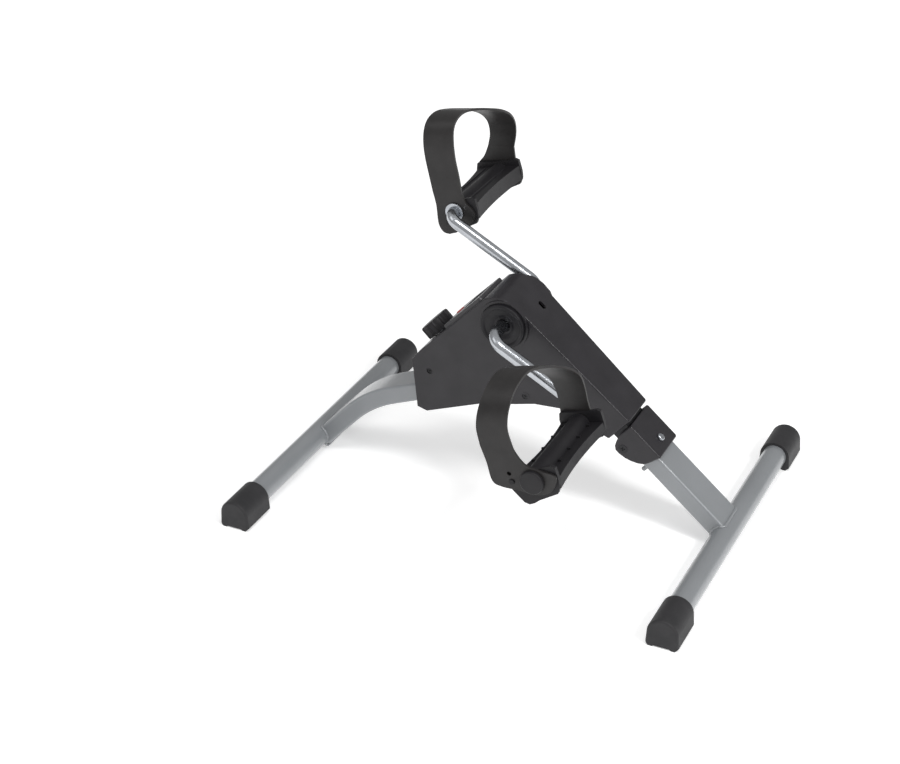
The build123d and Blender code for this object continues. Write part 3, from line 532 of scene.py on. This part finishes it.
# rear: only where the tube meets the bar (its lower wall runs past underneath)
rb = (-190.5, 54.2)
g0 = math.atan2(54.2 + 41.3, -190.5 + 88.1)
dr = (sin(g0), -cos(g0))
nr = (cos(g0), sin(g0))
ax = ((-STAB_X - rb[0]) * dr[0] + (STAB_Z - rb[1]) * dr[1], (-STAB_X - rb[0]) * nr[0] + (STAB_Z - rb[1]) * nr[1])
rear = []
for y, h in rect_outline(40.2, 20.2, 3.0):
    q = STAB_R ** 2 - (h - ax[1]) ** 2
    t_ = ax[0] + math.sqrt(max(q, 0.0)) + 0.4
    rear.append((rb[0] + t_ * dr[0] + h * nr[0], y, rb[1] + t_ * dr[1] + h * nr[1]))
bead("weld_rear", rear, 1.7, "frame", 1.1)

# ---------------------------------------------------------------- edges of the mouldings
for name, w in (("housing_right_shell", 0.7), ("housing_left_shell", 0.7), ("fold_bracket_cover", 0.7), ("hub_cover_right", 0.35),
                ("hub_cover_left", 0.35), ("pedal_body_right", 0.6), ("pedal_body_left", 0.6), ("pedal_end_cap_right", 0.4),
                ("pedal_end_cap_left", 0.4), ("tension_knob", 0.6), ("display_bezel", 0.4), ("front_foot_cap_right", 1.0),
                ("front_foot_cap_left", 1.0), ("rear_foot_cap_right", 1.0), ("rear_foot_cap_left", 1.0), ("fold_bracket", 0.3),
                ("hinge_bolt", 0.25), ("spindle_washer_right", 0.3), ("spindle_washer_left", 0.3), ("leg_stop_pin", 0.2)):
    crisp(nodes[name], w * MM)


# ---------------------------------------------------------------- camera, light, floor


def make_camera():
    a, e, r = rad(26.41), rad(30.06), rad(-0.8)
    back = Vector((sin(a) * cos(e), -cos(a) * cos(e), sin(e)))
    right = Vector((cos(a), sin(a), 0))
    up = back.cross(right)
    r2 = right * cos(r) + up * sin(r)
    u2 = -right * sin(r) + up * cos(r)
    m = Matrix((r2, u2, back)).transposed().to_4x4()
    m.translation = Vector((0.0, -0.16078, 0.21436)) + back * 1.76509
    cam = bpy.data.cameras.new("camera")
    cam.sensor_width = 36.0
    cam.lens = 1870.71 / 900.0 * 36.0
    cam.clip_start, cam.clip_end = 0.05, 50.0
    o = bpy.data.objects.new("camera", cam)
    bpy.context.scene.collection.objects.link(o)
    o.matrix_world = m
    bpy.context.scene.camera = o


def area(name, loc, target, size, power, size_y=None, col=(1, 1, 1)):
    l = bpy.data.lights.new(name, "AREA")
    l.energy = power
    l.color = col
    l.shape = "RECTANGLE"
    l.size = size
    l.size_y = size_y or size
    o = bpy.data.objects.new(name, l)
    bpy.context.scene.collection.objects.link(o)
    o.location = loc
    o.rotation_mode = "QUATERNION"
    o.rotation_quaternion = (Vector(target) - Vector(loc)).to_track_quat("-Z", "Y")
    return o


WORLD_LO, WORLD_HI = 0.28, 0.56
FLOOR_GLOW = 0.38


def make_stage():
    me = bpy.data.meshes.new("floor")
    s = 6.0
    me.from_pydata([(-s, -s, 0), (s, -s, 0), (s, s, 0), (-s, s, 0)], [], [(0, 1, 2, 3)])
    o = bpy.data.objects.new("floor", me)
    bpy.context.scene.collection.objects.link(o)
    o.location = (0, 0, -0.0002)
    m = Mat("floor")
    m.link(m.ramp(m.noise(1.5, 3.0), [(0.3, (0.86, 0.86, 0.86, 1)), (0.7, (0.88, 0.88, 0.88, 1))]), m.p.inputs["Base Color"])
    m.set(Roughness=0.9, Specular_IOR_Level=0.1, Emission_Color=(1, 1, 1, 1))
    # the sweep is lit more, the further it is from the object
    far = m.node("ShaderNodeVectorMath", operation="LENGTH")
    m.link(m.co, far.inputs[0])
    m.link(m.mapr(far.outputs["Value"], 0.6, 1.8, FLOOR_GLOW, 0.72), m.p.inputs["Emission Strength"])
    me.materials.append(m.m)
    w = bpy.data.worlds.new("world")
    bpy.context.scene.world = w
    w.use_nodes = True
    t = w.node_tree
    bg = t.nodes["Background"]
    # a studio: bright overhead and on the near side, dim behind
    tc = t.nodes.new("ShaderNodeTexCoord")
    dt = t.nodes.new("ShaderNodeVectorMath")
    dt.operation = "DOT_PRODUCT"
    dt.inputs[1].default_value = Vector((0.2, -0.4, 0.9)).normalized()
    t.links.new(tc.outputs["Generated"], dt.inputs[0])
    mr = t.nodes.new("ShaderNodeMapRange")
    mr.interpolation_type = "SMOOTHSTEP"
    mr.inputs["From Min"].default_value = -0.6
    mr.inputs["From Max"].default_value = 0.85
    mr.inputs["To Min"].default_value = WORLD_LO
    mr.inputs["To Max"].default_value = WORLD_HI
    t.links.new(dt.outputs["Value"], mr.inputs["Value"])
    t.links.new(mr.outputs[0], bg.inputs[1])
    bg.inputs[0].default_value = (1, 1, 1, 1)
    area("key", (0.35, -0.7, 2.1), (0, -0.02, 0.14), 0.8, 12.0, 0.5)
    area("edge", (1.42, -0.6, 1.42), (0.06, 0, 0.14), 0.3, 16.0)
    area("fill", (-1.3, -0.8, 1.6), (0, 0, 0.12), 0.9, 3.0)
    sc = bpy.context.scene
    sc.view_settings.view_transform = "Standard"
    sc.view_settings.look = "None"
    sc.view_settings.exposure = 0.0
    sc.view_settings.gamma = 1.0


make_camera()
make_stage()
